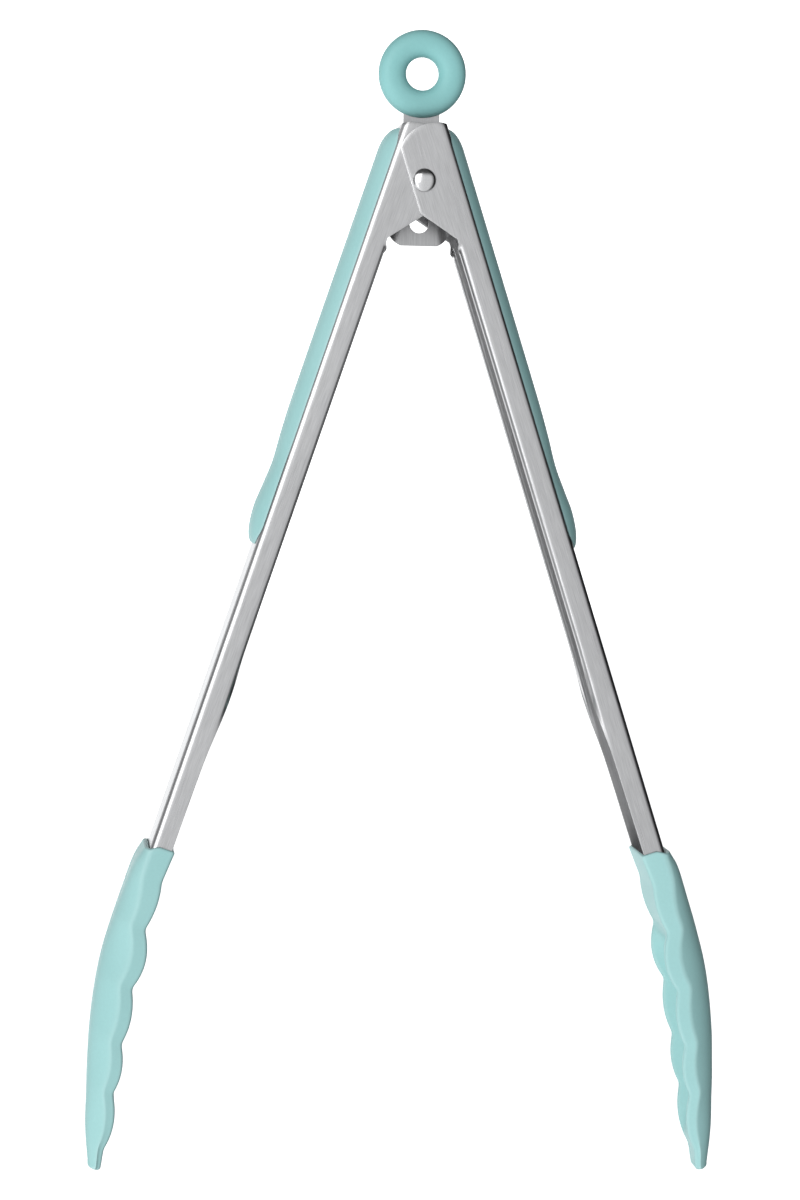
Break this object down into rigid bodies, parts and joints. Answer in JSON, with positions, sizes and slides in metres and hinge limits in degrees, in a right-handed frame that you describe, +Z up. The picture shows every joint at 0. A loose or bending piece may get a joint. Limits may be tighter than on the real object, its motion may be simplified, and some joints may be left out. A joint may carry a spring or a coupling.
{
  "type": "kitchen tongs",
  "caption": "Spring loaded kitchen tongs with channel arms, a pull ring lock, soft grips and scalloped silicone scoop tips.",
  "frame": {"origin": "centre of the hang hole in the pull ring", "axes": "+Z up, with the tongs hanging below; +X towards the right arm; +Y along the hang hole and the pivot, towards the back"},
  "size_m": [0.1636, 0.0242, 0.2961],
  "materials": {
    "arm_steel": "brushed along the arm",
    "plate_steel": "fine satin",
    "rivet_steel": "polished",
    "pin_steel": "satin",
    "spring_steel": "drawn wire",
    "soft_grip": "matte aqua",
    "tip_silicone": "satin aqua silicone",
    "ring_rubber": "satin aqua",
    "insert_nylon": "moulded aqua",
    "core_nylon": "moulded aqua",
    "spacer_nylon": "moulded white"
  },
  "bodies": {
    "lock_slider": {"lock_plate": "plate_steel", "pull_ring": "ring_rubber"},
    "pivot": {"pivot_rivet": "rivet_steel", "pivot_sleeve": "pin_steel", "plate_spacers": "spacer_nylon", "torsion_spring": "spring_steel"},
    "left_arm": {"left_arm": "arm_steel", "left_grip": "soft_grip", "left_grip_insert": "insert_nylon", "left_silicone_tip": "tip_silicone", "left_tip_core": "core_nylon", "left_tip_pin": "pin_steel"},
    "right_arm": {"right_arm": "arm_steel", "right_grip": "soft_grip", "right_grip_insert": "insert_nylon", "right_silicone_tip": "tip_silicone", "right_tip_core": "core_nylon", "right_tip_pin": "pin_steel"}
  },
  "joints": [
    {"name": "lock_slide", "type": "slide", "parent": "lock_slider", "child": "pivot", "axis": [0, 0, -1], "range_m": [0, 0.0103]},
    {"name": "left_hinge", "type": "hinge", "parent": "pivot", "child": "left_arm", "pos_m": [0, 0, -0.0279], "axis": [0, -1, 0], "range_deg": [0, 16.85], "stiffness_Nm_per_rad": 0.98, "springref_deg": -8.59, "deforming": ["torsion_spring"]},
    {"name": "right_hinge", "type": "hinge", "parent": "pivot", "child": "right_arm", "pos_m": [0, 0, -0.0279], "axis": [0, 1, 0], "range_deg": [0, 16.85], "stiffness_Nm_per_rad": 0.98, "springref_deg": -8.59}
  ],
  "couplings": [
    {"joint": "right_hinge", "follows": "left_hinge", "ratio": 1}
  ]
}
